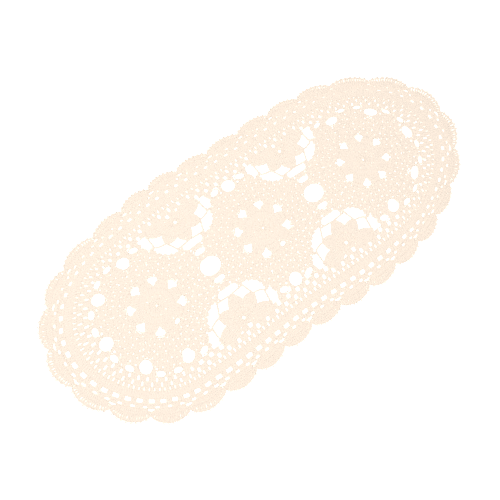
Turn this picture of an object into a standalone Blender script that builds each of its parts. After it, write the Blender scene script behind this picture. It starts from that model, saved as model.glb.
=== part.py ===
"""A crocheted oval lace doily, laid flat: one sheet of cotton with its gaps cut through.

Three round motifs lie in a row, with a half motif in each of the four hollows between them.
A border runs round them: two rounds of net, a dense band, a round of eyelets and thirty fans.
The pattern is first laid out even, and then bent as the hand-made piece is.
Units are metres, +Z is up, and the doily's long side lies along X.
"""

import math

import bmesh
import bpy
from mathutils import Vector
from mathutils.geometry import delaunay_2d_cdt

# Driving dimensions.
MOTIF_PITCH = 0.124  # from one round motif's centre to the next
THICKNESS = 0.0015
HALF_MOTIF_OFFSET = 0.0631  # from the long centre line to a half motif's centre

# Gaps of a round motif, at distances from its centre.
RING_REACH = 0.0243
RING_GAPS = 8
RING_SWIRL = math.radians(18.6)  # the first ring gap lies this far past the long axis
NOTCH_REACH_AT_ENDS = 0.0557  # towards the doily's two ends
NOTCH_REACH_ON_SLANT = 0.0540
NOTCH_REACH_AT_SIDES = 0.0526  # of the two outer motifs, towards the long sides
NOTCH_REACH_OF_MIDDLE = 0.0556  # of the middle motif, towards the long sides
FLANK_REACH = 0.0593
FLANK_SPREAD = math.radians(14.5)  # from a notch gap to the slot on either side of it

# Gaps between two round motifs, at distances from the long centre line.
JOINT_BELOW = -0.0150
JOINT_ABOVE = 0.0172

# Distances of the border's rounds from the spine that joins the outer motifs' centres.
NET_REACH = 0.0647
EYELET_REACH = 0.0838
SCALLOP_NOTCH_REACH = 0.0974
SCALLOP_TIP_REACH = 0.1031

EYELETS = 90
NET_GAPS = 90
SCALLOPS = 30
SCALLOP_POINTS = 8
SCALLOP_ROUNDNESS = 0.75  # below 1, so that a fan is full and its notches are sharp
EYELET_PHASE = -0.33  # of an eyelet's pitch, from the left end
NET_PHASE = 0.17

# How the finished piece departs from the even pattern. Each bend is a shift in metres of a
# point at both half spans, and it grows with the powers of the point's share of them.
HALF_SPAN_X = 1.8 * MOTIF_PITCH
HALF_SPAN_Y = 0.8 * MOTIF_PITCH
BENDS = (
    {"power_x": 2, "power_y": 0, "shift_x": -0.0020, "shift_y": -0.0062},
    {"power_x": 1, "power_y": 1, "shift_x": 0.0018, "shift_y": -0.0004},
    {"power_x": 0, "power_y": 2, "shift_x": -0.0102, "shift_y": -0.0080},
)

# Waves that run round the border: outwards ("reach") and along it ("slip"), in metres.
WAVES = (
    {"waves": 1, "reach_cos": 0.0014, "reach_sin": -0.0024, "slip_cos": 0.0037, "slip_sin": 0.0022},
    {"waves": 2, "reach_cos": -0.0009, "reach_sin": -0.0004, "slip_cos": -0.0029, "slip_sin": -0.0003},
    {"waves": 3, "reach_cos": 0.0003, "reach_sin": -0.0006, "slip_cos": 0.0020, "slip_sin": 0.0},
    {"waves": 4, "reach_cos": 0.0031, "reach_sin": 0.0004, "slip_cos": -0.0006, "slip_sin": -0.0001},
    {"waves": 5, "reach_cos": 0.0003, "reach_sin": -0.0006, "slip_cos": 0.0008, "slip_sin": -0.0016},
    {"waves": 6, "reach_cos": 0.0027, "reach_sin": -0.0008, "slip_cos": -0.0004, "slip_sin": -0.0001},
)
WAVES_START = 0.40 * MOTIF_PITCH  # nearer the spine than this the waves don't reach
WAVES_FULL = 0.80 * MOTIF_PITCH

# Each kind of gap: its half length along its own direction, its half width, how much wider
# it is at its outer end, and how many corners it has.
GAP_KINDS = {
    "joint": {"half_length": 0.0100, "half_width": 0.0086, "flare": 0.0, "corners": 12},
    "joint_slot": {"half_length": 0.0055, "half_width": 0.0026, "flare": 0.0, "corners": 6},
    "ring": {"half_length": 0.0042, "half_width": 0.0056, "flare": 0.5, "corners": 6},
    "notch": {"half_length": 0.0058, "half_width": 0.0060, "flare": 0.0, "corners": 8},
    "flank": {"half_length": 0.0042, "half_width": 0.0024, "flare": 0.0, "corners": 6},
    "lens": {"half_length": 0.0098, "half_width": 0.0036, "flare": 0.0, "corners": 8},
    "end_lens": {"half_length": 0.0066, "half_width": 0.0034, "flare": 0.0, "corners": 6},
    "petal": {"half_length": 0.0048, "half_width": 0.0062, "flare": 0.4, "corners": 7},
    "net": {"half_length": 0.0035, "half_width": 0.0017, "flare": 0.0, "corners": 5},
    "eyelet": {"half_length": 0.0030, "half_width": 0.0022, "flare": 0.0, "corners": 6},
}

# Gaps of a half motif: their angle from the line towards the doily's middle.
HALF_MOTIF_GAPS = (
    {"kind": "lens", "reach": 0.0344, "angle": 0.0},
    {"kind": "lens", "reach": 0.0344, "angle": 44.5},
    {"kind": "lens", "reach": 0.0344, "angle": -44.5},
    {"kind": "end_lens", "reach": 0.0354, "angle": 78.0},
    {"kind": "end_lens", "reach": 0.0354, "angle": -78.0},
    {"kind": "petal", "reach": 0.0269, "angle": 23.0},
    {"kind": "petal", "reach": 0.0269, "angle": -23.0},
    {"kind": "petal", "reach": 0.0269, "angle": 65.0},
    {"kind": "petal", "reach": 0.0269, "angle": -65.0},
)

COTTON_COLOR = (0.93, 0.86, 0.76, 1.0)
COTTON_ROUGHNESS = 0.9
SAME_PLACE = 1e-7
FILL_INSIDE = 1  # triangles inside the outlines alone


def polar(centre, reach, angle):
    """The point at a distance and angle from a centre."""
    return centre + Vector((reach * math.cos(angle), reach * math.sin(angle)))


def oval_point(turn, reach):
    """The point at a share of the way round the oval, counted from its left end towards -Y."""
    quarter = math.pi / 2 * EYELET_REACH
    straight = 2 * MOTIF_PITCH
    way = turn % 1.0 * (4 * quarter + 2 * straight)
    if way < quarter:
        return polar(Vector((-MOTIF_PITCH, 0.0)), reach, math.pi + way / EYELET_REACH)
    if way < quarter + straight:
        return Vector((way - quarter - MOTIF_PITCH, -reach))
    if way < 3 * quarter + straight:
        angle = (way - 2 * quarter - straight) / EYELET_REACH
        return polar(Vector((MOTIF_PITCH, 0.0)), reach, angle)
    if way < 3 * quarter + 2 * straight:
        return Vector((3 * quarter + straight + MOTIF_PITCH - way, reach))
    angle = (way - 2 * quarter - 2 * straight) / EYELET_REACH
    return polar(Vector((-MOTIF_PITCH, 0.0)), reach, angle)


def oval_place(point):
    """A point's share of the way round the oval, its reach from the spine and its way out."""
    quarter = math.pi / 2 * EYELET_REACH
    straight = 2 * MOTIF_PITCH
    foot = Vector((max(-MOTIF_PITCH, min(MOTIF_PITCH, point.x)), 0.0))
    out = point - foot
    angle = math.atan2(out.y, out.x)
    if point.x < -MOTIF_PITCH:
        way = (angle % (2 * math.pi) - math.pi) * EYELET_REACH
    elif point.x > MOTIF_PITCH:
        way = 2 * quarter + straight + angle * EYELET_REACH
    elif point.y < 0:
        way = quarter + MOTIF_PITCH + point.x
    else:
        way = 3 * quarter + straight + MOTIF_PITCH - point.x
    reach = out.length
    way_out = out.normalized() if reach > SAME_PLACE else Vector((0.0, 1.0))
    return way / (4 * quarter + 2 * straight), reach, way_out


def as_made(point):
    """Moves a point of the even pattern to where the hand-made piece has it."""
    share_x = point.x / HALF_SPAN_X
    share_y = point.y / HALF_SPAN_Y
    moved = point.copy()
    for bend in BENDS:
        weight = share_x ** bend["power_x"] * share_y ** bend["power_y"]
        moved += weight * Vector((bend["shift_x"], bend["shift_y"]))
    turn, reach, way_out = oval_place(point)
    rise = max(0.0, min(1.0, (reach - WAVES_START) / (WAVES_FULL - WAVES_START)))
    weight = rise * rise * (3 - 2 * rise)
    along = Vector((-way_out.y, way_out.x))
    for wave in WAVES:
        phase = math.tau * wave["waves"] * turn
        outwards = wave["reach_cos"] * math.cos(phase) + wave["reach_sin"] * math.sin(phase)
        sideways = wave["slip_cos"] * math.cos(phase) + wave["slip_sin"] * math.sin(phase)
        moved += weight * (outwards * way_out + sideways * along)
    return moved


def gap(kind, centre, direction):
    """One gap's corners: its length lies along a direction and it flares towards that end."""
    size = GAP_KINDS[kind]
    forward = Vector((math.cos(direction), math.sin(direction)))
    sideways = Vector((-forward.y, forward.x))
    corners = []
    for corner in range(size["corners"]):
        angle = math.tau * (corner + 0.5) / size["corners"]
        along = size["half_length"] * math.cos(angle)
        across = size["half_width"] * math.sin(angle) * (1 + size["flare"] * math.cos(angle))
        corners.append(centre + along * forward + across * sideways)
    return corners


def ring_gaps(centre):
    """The gaps between the petals of a round motif."""
    angles = [RING_SWIRL + math.tau * k / RING_GAPS for k in range(RING_GAPS)]
    return [gap("ring", polar(centre, RING_REACH, angle), angle) for angle in angles]


def notch_gaps(centre, angle, reach):
    """A round gap in a notch between two lobes, and the slot on either side of it."""
    gaps = [gap("notch", polar(centre, reach, angle), angle)]
    for side in (-1, 1):
        slant = angle + side * FLANK_SPREAD
        gaps.append(gap("flank", polar(centre, FLANK_REACH, slant), slant + math.pi / 2))
    return gaps


def outer_motif_gaps(side):
    """The gaps of the round motif at the left (-1) or right (1) end."""
    centre = Vector((side * MOTIF_PITCH, 0.0))
    way_out = 0.0 if side > 0 else math.pi
    gaps = ring_gaps(centre) + notch_gaps(centre, way_out, NOTCH_REACH_AT_ENDS)
    for turn in (-1, 1):
        gaps += notch_gaps(centre, way_out + turn * math.pi / 4, NOTCH_REACH_ON_SLANT)
        gaps += notch_gaps(centre, way_out + turn * math.pi / 2, NOTCH_REACH_AT_SIDES)
    return gaps


def middle_motif_gaps():
    """The gaps of the round motif in the middle."""
    centre = Vector((0.0, 0.0))
    gaps = ring_gaps(centre)
    for side in (-1, 1):
        gaps += notch_gaps(centre, side * math.pi / 2, NOTCH_REACH_OF_MIDDLE)
    return gaps


def joint_gaps(side):
    """The large gap where two round motifs meet, and the slots below and above it."""
    middle = side * MOTIF_PITCH / 2
    return [
        gap("joint", Vector((middle, 0.0)), 0.0),
        gap("joint_slot", Vector((middle, JOINT_BELOW)), 0.0),
        gap("joint_slot", Vector((middle, JOINT_ABOVE)), 0.0),
    ]


def half_motif_gaps(side_x, side_y):
    """The gaps of one half motif, as a fan that opens towards the doily's middle."""
    centre = Vector((side_x * MOTIF_PITCH / 2, side_y * HALF_MOTIF_OFFSET))
    inwards = -side_y * math.pi / 2
    gaps = []
    for place in HALF_MOTIF_GAPS:
        angle = inwards + math.radians(place["angle"])
        turned = 0.0 if place["kind"] == "petal" else math.pi / 2
        gaps.append(gap(place["kind"], polar(centre, place["reach"], angle), angle + turned))
    return gaps


def border_gaps(kind, count, phase, reach):
    """An even round of gaps in the border, each laid along it."""
    gaps = []
    for number in range(count):
        place = oval_point((number + phase) / count, reach)
        way_out = oval_place(place)[2]
        gaps.append(gap(kind, place, math.atan2(way_out.x, -way_out.y)))
    return gaps


def all_gaps():
    """Every gap that is cut through, in the even pattern."""
    gaps = middle_motif_gaps()
    for side in (-1, 1):
        gaps += outer_motif_gaps(side) + joint_gaps(side)
        gaps += half_motif_gaps(side, -1) + half_motif_gaps(side, 1)
    gaps += border_gaps("net", NET_GAPS, NET_PHASE, NET_REACH)
    gaps += border_gaps("eyelet", EYELETS, EYELET_PHASE, EYELET_REACH)
    return gaps


def scalloped_outline():
    """The doily's outer edge: a fan between each two notches, every notch at an eyelet."""
    points = []
    depth = SCALLOP_TIP_REACH - SCALLOP_NOTCH_REACH
    for number in range(SCALLOPS * SCALLOP_POINTS):
        across = number % SCALLOP_POINTS / SCALLOP_POINTS
        turn = (number / SCALLOP_POINTS + (1 + EYELET_PHASE) * SCALLOPS / EYELETS) / SCALLOPS
        rise = math.sin(math.pi * across) ** SCALLOP_ROUNDNESS
        points.append(oval_point(turn, SCALLOP_NOTCH_REACH + depth * rise))
    return points


def centred(loops):
    """Shifts all loops so that the first one's bounding box is centred on the origin."""
    edge = loops[0]
    middle_x = (min(p.x for p in edge) + max(p.x for p in edge)) / 2
    middle_y = (min(p.y for p in edge) + max(p.y for p in edge)) / 2
    middle = Vector((middle_x, middle_y))
    return [[point - middle for point in loop] for loop in loops]


def sheet_mesh(name, loops, thickness):
    """A flat closed sheet inside the first loop, with every other loop cut through it."""
    points = []
    outlines = []
    for loop in loops:
        outlines.append(list(range(len(points), len(points) + len(loop))))
        points += loop
    filled = delaunay_2d_cdt(points, [], outlines, FILL_INSIDE, SAME_PLACE)
    flat_points, faces, outlines_round_face = filled[0], filled[2], filled[5]
    sheet = bmesh.new()
    corners = [sheet.verts.new((p.x, p.y, 0.0)) for p in flat_points]
    for face, round_it in zip(faces, outlines_round_face):
        if round_it == [0]:
            sheet.faces.new([corners[index] for index in face])
    raised = bmesh.ops.extrude_face_region(sheet, geom=sheet.faces[:])
    top = [item for item in raised["geom"] if isinstance(item, bmesh.types.BMVert)]
    bmesh.ops.translate(sheet, verts=top, vec=(0.0, 0.0, thickness))
    bmesh.ops.recalc_face_normals(sheet, faces=sheet.faces[:])
    mesh = bpy.data.meshes.new(name)
    sheet.to_mesh(mesh)
    sheet.free()
    return mesh


def cotton():
    """Unbleached crochet cotton."""
    material = bpy.data.materials.new("cotton")
    material.use_nodes = True
    shader = material.node_tree.nodes["Principled BSDF"]
    shader.inputs["Base Color"].default_value = COTTON_COLOR
    shader.inputs["Roughness"].default_value = COTTON_ROUGHNESS
    shader.inputs["Metallic"].default_value = 0.0
    return material


def build():
    """Clears the scene and makes the doily."""
    for leftover in list(bpy.data.objects):
        bpy.data.objects.remove(leftover, do_unlink=True)
    even = [scalloped_outline()] + all_gaps()
    made = [[as_made(point) for point in loop] for loop in even]
    mesh = sheet_mesh("doily", centred(made), THICKNESS)
    mesh.materials.append(cotton())
    doily = bpy.data.objects.new("doily", mesh)
    bpy.context.collection.objects.link(doily)


build()
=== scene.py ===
"""Dresses the oval lace doily: crochet cotton worked stitch by stitch, laid on a pale table.

Every stitch is laid out in the even pattern first, and then moved to where the hand-made piece
has it, in the same way as the solid that it stands for. Units are metres, +Z is up.
"""

import logging
import math
from dataclasses import dataclass, field
from enum import Enum
from typing import Protocol

import bpy
import numpy as np
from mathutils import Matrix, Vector


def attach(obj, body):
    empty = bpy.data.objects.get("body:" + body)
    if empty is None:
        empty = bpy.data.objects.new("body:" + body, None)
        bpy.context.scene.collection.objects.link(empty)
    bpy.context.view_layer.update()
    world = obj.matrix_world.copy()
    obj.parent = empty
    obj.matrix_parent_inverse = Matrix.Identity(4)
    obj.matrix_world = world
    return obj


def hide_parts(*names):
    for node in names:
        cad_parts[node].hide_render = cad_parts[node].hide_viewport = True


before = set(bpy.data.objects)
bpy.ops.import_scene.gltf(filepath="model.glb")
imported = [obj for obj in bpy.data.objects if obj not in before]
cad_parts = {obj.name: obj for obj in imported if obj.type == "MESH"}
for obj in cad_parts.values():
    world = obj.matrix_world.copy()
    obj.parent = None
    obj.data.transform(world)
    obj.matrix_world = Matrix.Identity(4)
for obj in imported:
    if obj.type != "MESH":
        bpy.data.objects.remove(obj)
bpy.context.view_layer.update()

logging.basicConfig(level=logging.INFO, format="%(message)s")
log = logging.getLogger("doily")

BODY = "root"
SOLID = "doily"
PITCH = 0.124  # from one round motif's centre to the next
BASE_REACH = 0.0620  # from the long centre line to the border's first chain
FULL_TURN = 2 * math.pi
TINY = 1e-12  # keeps a division by a length from failing
Pair = tuple[float, float]
Amount = float | np.ndarray  # one value, or one for each stitch or point


def unit(vectors: np.ndarray) -> np.ndarray:
    """Vectors scaled to a length of 1 along the last axis."""
    return vectors / np.maximum(np.linalg.norm(vectors, axis=-1, keepdims=True), TINY)


def heading(lines: np.ndarray, closed: bool = False) -> np.ndarray:
    """Finds which way lines run at each of their points.

    Args:
        lines: as (..., points, 2 or 3).
        closed: whether each line runs back into its start.

    Returns:
        Unit vectors, as the lines are.
    """
    if closed:
        return unit(np.roll(lines, -1, axis=-2) - np.roll(lines, 1, axis=-2))
    return unit(np.gradient(lines, axis=-2))


def rightward(ahead: np.ndarray) -> np.ndarray:
    """The flat parts of vectors, turned a quarter turn to the right."""
    return np.stack([ahead[..., 1], -ahead[..., 0]], -1)


def runs(kept: np.ndarray) -> np.ndarray:
    """The first place of each run of true values and the place after its last, as (runs, 2)."""
    return np.flatnonzero(np.diff(np.concatenate([[0], kept.astype(int), [0]]))).reshape(-1, 2)


def stretches(line: np.ndarray, kept: np.ndarray, closed: bool) -> list[np.ndarray]:
    """Cuts a line to the stretches whose points are kept.

    Args:
        line: its points, as (points, 2).
        kept: which of them are kept, and not all of them where the line is closed.
        closed: whether it runs back into its start.

    Returns:
        The points of each stretch.
    """
    if closed:
        first = int(np.flatnonzero(~kept)[0])
        line, kept = np.roll(line, -first, 0), np.roll(kept, -first)
    return [line[start:stop] for start, stop in runs(kept)]


def through(marks: np.ndarray, t: np.ndarray) -> np.ndarray:
    """Finds points along the smooth lines through two or three marks.

    Args:
        marks: as (lines, 2 or 3, 2).
        t: shares of the way along.

    Returns:
        The points, as (lines, shares, 2).
    """
    t = t[None, :, None]
    first, last = marks[:, None, 0], marks[:, None, -1]
    if marks.shape[1] == 2:
        return first + (last - first) * t
    mid = marks[:, None, 1]
    return 2 * (t - 0.5) * (t - 1) * first - 4 * t * (t - 1) * mid + 2 * t * (t - 0.5) * last


def polar(centre: Pair, angle: Amount, reach: Amount) -> np.ndarray:
    """Points at angles and distances from a centre, as (..., 2)."""
    return np.stack([centre[0] + reach * np.cos(angle), centre[1] + reach * np.sin(angle)], -1)


def rays(centre: Pair, angles: tuple[Amount, ...], reaches: tuple[Amount, ...]) -> np.ndarray:
    """Sets the marks of stitches that stand round a centre.

    Args:
        centre: what they stand round.
        angles: of their feet, of a point on the way if they bend, and of their heads.
        reaches: from the centre, of the same.

    Returns:
        The marks, as (stitches, 2 or 3, 2).
    """
    return np.stack([polar(centre, angle, reach) for angle, reach in zip(angles, reaches)], 1)


def linked(name: str, data: bpy.types.ID) -> bpy.types.Object:
    """Makes an object and links it to the scene.

    Args:
        name: the object's name.
        data: what it holds.

    Returns:
        The new object.
    """
    made = bpy.data.objects.new(name, data)
    bpy.context.scene.collection.objects.link(made)
    return made


@dataclass(frozen=True)
class Cast:
    """How one kind of stitch is made up."""

    turns: float  # of its two strands round each other
    steps: int  # points along each strand
    wraps: tuple[float, ...]  # where yarn-overs slant round it, as shares of its height
    body: tuple[float, ...]  # its width from foot to head, as shares of its room


class Stitch(Enum):
    """The kinds of stitch in the doily."""

    LOW = Cast(0.55, 4, (), (1.12, 1.06, 1.12))
    BAND = Cast(0.6, 4, (), (1.16, 1.14, 1.16))
    TALL = Cast(1.0, 5, (0.5,), (1.1, 1.04, 1.1))
    PETAL = Cast(1.5, 7, (0.36, 0.68), (1.15, 1.25, 1.25, 1.25, 1.0))
    FAN = Cast(1.3, 6, (0.42,), (1.15, 1.2, 1.2, 0.92, 1.15))


@dataclass(frozen=True)
class Oval:
    """The border's own coordinates: the share of the way round it, and the reach from its spine."""

    half_spine: float = PITCH
    even_reach: float = 0.0838  # where the way round is measured

    def lengths(self) -> tuple[float, float, float]:
        """Lengths of a quarter turn, of a straight side and of the whole way round."""
        quarter, straight = math.pi / 2 * self.even_reach, 2 * self.half_spine
        return quarter, straight, 4 * quarter + 2 * straight

    def points(self, turn: Amount, reach: Amount) -> np.ndarray:
        """Finds points at a share of the way round, counted from the left end towards -Y.

        Args:
            turn: shares of the way round.
            reach: distances from the spine.

        Returns:
            The points, as (..., 2).
        """
        quarter, straight, whole = self.lengths()
        turn, reach = np.broadcast_arrays(np.asarray(turn, float), np.asarray(reach, float))
        way = np.mod(turn, 1.0) * whole
        below = (way >= quarter) & (way < quarter + straight)
        right = (way >= quarter + straight) & (way < 3 * quarter + straight)
        above = (way >= 3 * quarter + straight) & (way < 3 * quarter + 2 * straight)
        angle_left = np.pi + way / self.even_reach
        angle_right = (way - 2 * quarter - straight) / self.even_reach
        angle_end = (way - 2 * quarter - 2 * straight) / self.even_reach
        angle = np.where(right, angle_right, np.where(way < quarter, angle_left, angle_end))
        x = np.where(right, self.half_spine, -self.half_spine) + reach * np.cos(angle)
        y = reach * np.sin(angle)
        x = np.where(below, way - quarter - self.half_spine, x)
        y = np.where(below, -reach, y)
        x = np.where(above, 3 * quarter + straight + self.half_spine - way, x)
        y = np.where(above, reach, y)
        return np.stack([x, y], -1)

    def places(self, points: np.ndarray) -> tuple[np.ndarray, np.ndarray, np.ndarray]:
        """Finds where points lie in the border's coordinates.

        Args:
            points: as (..., 2).

        Returns:
            The shares of the way round, the reaches, and the ways out as unit vectors.
        """
        quarter, straight, whole = self.lengths()
        x, y = points[..., 0], points[..., 1]
        out = np.stack([x - np.clip(x, -self.half_spine, self.half_spine), y], -1)
        angle = np.arctan2(out[..., 1], out[..., 0])
        way_left = (np.mod(angle, FULL_TURN) - np.pi) * self.even_reach
        way_right = 2 * quarter + straight + angle * self.even_reach
        way_below = quarter + self.half_spine + x
        way_above = 3 * quarter + straight + self.half_spine - x
        way = np.where(y < 0, way_below, way_above)
        way = np.where(x > self.half_spine, way_right, way)
        way = np.where(x < -self.half_spine, way_left, way)
        return way / whole, np.linalg.norm(out, axis=-1), unit(out)


@dataclass(frozen=True)
class Handwork:
    """How the finished piece departs from the even pattern, as its solid does."""

    oval: Oval = Oval()
    half_span: Pair = (1.8 * PITCH, 0.8 * PITCH)
    # Each bend: powers of the share of the half spans, and the shift that it grows to.
    bends: tuple[tuple[int, int, float, float], ...] = (
        (2, 0, -0.0020, -0.0062),
        (1, 1, 0.0018, -0.0004),
        (0, 2, -0.0102, -0.0080),
    )
    # Each wave round the border: its count, then cosine and sine parts outwards and along.
    waves: tuple[tuple[int, float, float, float, float], ...] = (
        (1, 0.0014, -0.0024, 0.0037, 0.0022),
        (2, -0.0009, -0.0004, -0.0029, -0.0003),
        (3, 0.0003, -0.0006, 0.0020, 0.0),
        (4, 0.0031, 0.0004, -0.0006, -0.0001),
        (5, 0.0003, -0.0006, 0.0008, -0.0016),
        (6, 0.0027, -0.0008, -0.0004, -0.0001),
    )
    waves_start: float = 0.40 * PITCH
    waves_full: float = 0.80 * PITCH
    middle: Pair = (-0.00497, -0.00642)  # of the made outline's box
    even_snugness: float = 0.5  # of the net, at the middle of the even pattern
    tightening: Pair = (1.6, 4.6)  # of the net, for each metre along X and Y

    def snugness(self, points: np.ndarray) -> np.ndarray:
        """How much closer the net's stitches lie at points, from 0 to 1."""
        return np.clip(self.even_snugness + points @ np.array(self.tightening), 0.0, 1.0)

    def made(self, points: np.ndarray) -> np.ndarray:
        """Moves points of the even pattern to where the piece has them.

        Args:
            points: as (..., 2).

        Returns:
            The moved points, in the frame of the solid.
        """
        share_x = points[..., 0] / self.half_span[0]
        share_y = points[..., 1] / self.half_span[1]
        moved = points.astype(float).copy()
        for power_x, power_y, shift_x, shift_y in self.bends:
            weight = share_x**power_x * share_y**power_y
            moved = moved + weight[..., None] * np.array((shift_x, shift_y))
        turn, reach, way_out = self.oval.places(points)
        rise = (reach - self.waves_start) / (self.waves_full - self.waves_start)
        rise = np.clip(rise, 0.0, 1.0)
        weight = rise * rise * (3 - 2 * rise)
        along = -rightward(way_out)
        for count, out_cos, out_sin, slip_cos, slip_sin in self.waves:
            phase = FULL_TURN * count * turn
            outwards = weight * (out_cos * np.cos(phase) + out_sin * np.sin(phase))
            sideways = weight * (slip_cos * np.cos(phase) + slip_sin * np.sin(phase))
            moved = moved + outwards[..., None] * way_out + sideways[..., None] * along
        return moved - np.array(self.middle)


@dataclass(frozen=True)
class OpeningSize:
    """The half size of one kind of opening, and how much wider it is at its outer end."""

    half_length: float
    half_width: float
    flare: float = 0.0


class OpeningKind(Enum):
    """The openings that the stitches of motifs and flowers keep clear of."""

    JOINT = OpeningSize(0.0100, 0.0086)
    JOINT_SLOT = OpeningSize(0.0055, 0.0026)
    RING = OpeningSize(0.0030, 0.0043, 0.40)
    SNUG_RING = OpeningSize(0.0026, 0.0037, 0.35)
    START_RING = OpeningSize(0.0017, 0.0026, 0.3)
    NOTCH = OpeningSize(0.0058, 0.0060)
    SLIM_NOTCH = OpeningSize(0.0038, 0.0064)
    FLANK = OpeningSize(0.0042, 0.0024)
    SLIM_FLANK = OpeningSize(0.0038, 0.0017)
    LENS = OpeningSize(0.0098, 0.0036)
    END_LENS = OpeningSize(0.0066, 0.0034)
    FLOWER = OpeningSize(0.0048, 0.0062, 0.4)


@dataclass(frozen=True)
class Opening:
    """An oval opening that lies along its own direction."""

    kind: OpeningKind
    centre: Pair
    direction: float

    def holds(self, points: np.ndarray, margin: float) -> np.ndarray:
        """Tells which points lie in the opening, or within a margin of it.

        Args:
            points: as (..., 2).
            margin: how far the opening is widened.

        Returns:
            A mask of the points.
        """
        size = self.kind.value
        away = points - np.array(self.centre)
        cos, sin = math.cos(self.direction), math.sin(self.direction)
        along = (away[..., 0] * cos + away[..., 1] * sin) / (size.half_length + margin)
        across = -away[..., 0] * sin + away[..., 1] * cos
        half = size.half_width * (1 + size.flare * np.clip(along, -1, 1)) + margin
        return along**2 + (across / half) ** 2 < 1

    def rim(self, margin: float, number: int) -> np.ndarray:
        """Sets points round the opening.

        Args:
            margin: how far outside of it they lie.
            number: how many points.

        Returns:
            The points, as (number, 2), from the opening's outer end.
        """
        size = self.kind.value
        angle = FULL_TURN * np.arange(number) / number
        along = (size.half_length + margin) * np.cos(angle)
        flared = size.half_width * (1 + size.flare * np.cos(angle))
        across = (flared + margin) * np.sin(angle)
        cos, sin = math.cos(self.direction), math.sin(self.direction)
        x = self.centre[0] + along * cos - across * sin
        y = self.centre[1] + along * sin + across * cos
        return np.stack([x, y], -1)

    def girth(self) -> float:
        """About the length of its rim."""
        return math.pi * 1.03 * (self.kind.value.half_length + self.kind.value.half_width)


@dataclass(frozen=True)
class Layout:
    """Where the openings lie in the even pattern, as in the solid."""

    ring_reach: float = 0.0240
    ring_swirl: float = math.radians(18.6)
    ring_start: int = 6  # the opening that the rounds start and end beside
    end_reach: float = 0.0557  # of the notch openings towards the doily's ends
    slant_reach: float = 0.0540
    side_reach: float = 0.0526
    middle_reach: float = 0.0556
    flank_reach: float = 0.0593
    flank_spread: float = math.radians(14.5)
    joint_slots: Pair = (-0.0150, 0.0172)
    hollow: float = 0.0631  # from the long centre line to the middle of a hollow's openings
    # Openings round a flower: kind, reach, and angle from the line towards the middle.
    flower: tuple[tuple[OpeningKind, float, float], ...] = (
        (OpeningKind.LENS, 0.0344, 0.0),
        (OpeningKind.LENS, 0.0344, 44.5),
        (OpeningKind.LENS, 0.0344, -44.5),
        (OpeningKind.END_LENS, 0.0354, 78.0),
        (OpeningKind.END_LENS, 0.0354, -78.0),
        (OpeningKind.FLOWER, 0.0269, 23.0),
        (OpeningKind.FLOWER, 0.0269, -23.0),
        (OpeningKind.FLOWER, 0.0269, 65.0),
        (OpeningKind.FLOWER, 0.0269, -65.0),
    )

    @staticmethod
    def _put(
        kind: OpeningKind, centre: Pair, reach: float, angle: float, turned: float = 0.0
    ) -> Opening:
        """Puts an opening beside a centre.

        Args:
            kind: which opening.
            centre: what it lies beside.
            reach: how far from the centre.
            angle: on which side of the centre.
            turned: how far its direction is turned from that angle.

        Returns:
            The opening.
        """
        x = centre[0] + reach * math.cos(angle)
        y = centre[1] + reach * math.sin(angle)
        return Opening(kind, (x, y), angle + turned)

    def _notch(
        self, centre: Pair, angle: float, reach: float, is_slim: bool = False
    ) -> list[Opening]:
        """Puts a notch opening and the slot on either side of it.

        Args:
            centre: of the motif.
            angle: on which side of the motif.
            reach: of the notch opening.
            is_slim: whether the work is close there.

        Returns:
            The three openings.
        """
        kind = OpeningKind.SLIM_NOTCH if is_slim else OpeningKind.NOTCH
        flank = OpeningKind.SLIM_FLANK if is_slim else OpeningKind.FLANK
        made = [self._put(kind, centre, reach, angle)]
        for side in (-1, 1):
            slant = angle + side * self.flank_spread
            made.append(self._put(flank, centre, self.flank_reach, slant, math.pi / 2))
        return made

    def _ring(self, centre: Pair) -> list[Opening]:
        """Puts the eight openings between a motif's petals.

        Args:
            centre: of the motif. The right one is worked closely all round, and each of the
                others where its rounds start.

        Returns:
            The openings.
        """
        is_snug = centre[0] > 0
        kinds = [OpeningKind.SNUG_RING if is_snug else OpeningKind.RING] * 8
        if not is_snug:
            kinds[self.ring_start] = OpeningKind.START_RING
        angles = [self.ring_swirl + k * math.pi / 4 for k in range(8)]
        return [self._put(k, centre, self.ring_reach, a) for k, a in zip(kinds, angles)]

    def notches(self) -> list[Opening]:
        """The openings of the notches that face the border, slim at the doily's right end.

        Returns:
            Each notch opening with its two slots, motif by motif.
        """
        made = []
        for side in (-1, 1):
            centre = (side * PITCH, 0.0)
            way_out = 0.0 if side > 0 else math.pi
            is_slim = side > 0
            made += self._notch(centre, way_out, self.end_reach, is_slim)
            for turn in (-1, 1):
                slant, level = (way_out + turn * math.pi / k for k in (4, 2))
                made += self._notch(centre, slant, self.slant_reach, is_slim)
                made += self._notch(centre, level, self.side_reach, is_slim and turn > 0)
            made += self._notch((0.0, 0.0), side * math.pi / 2, self.middle_reach)
        return made

    def joints(self) -> list[Opening]:
        """The large openings where two motifs meet, and their slots.

        Returns:
            Each large opening with its two slots, from left to right.
        """
        made = []
        for middle in (-PITCH / 2, PITCH / 2):
            made.append(Opening(OpeningKind.JOINT, (middle, 0.0), 0.0))
            for height in self.joint_slots:
                made.append(Opening(OpeningKind.JOINT_SLOT, (middle, height), 0.0))
        return made

    def hollows(self) -> list[Opening]:
        """The openings round the four flowers.

        Returns:
            Nine for each flower.
        """
        made = []
        for side_x, side_y in ((-1, -1), (-1, 1), (1, -1), (1, 1)):
            centre = (side_x * PITCH / 2, side_y * self.hollow)
            for kind, reach, degrees in self.flower:
                angle = -side_y * math.pi / 2 + math.radians(degrees)
                turned = 0.0 if kind is OpeningKind.FLOWER else math.pi / 2
                made.append(self._put(kind, centre, reach, angle, turned))
        return made

    def openings(self) -> list[Opening]:
        """Every opening that stitches keep clear of."""
        rings = [o for x in (-PITCH, 0.0, PITCH) for o in self._ring((x, 0.0))]
        return rings + self.notches() + self.joints() + self.hollows()


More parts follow.
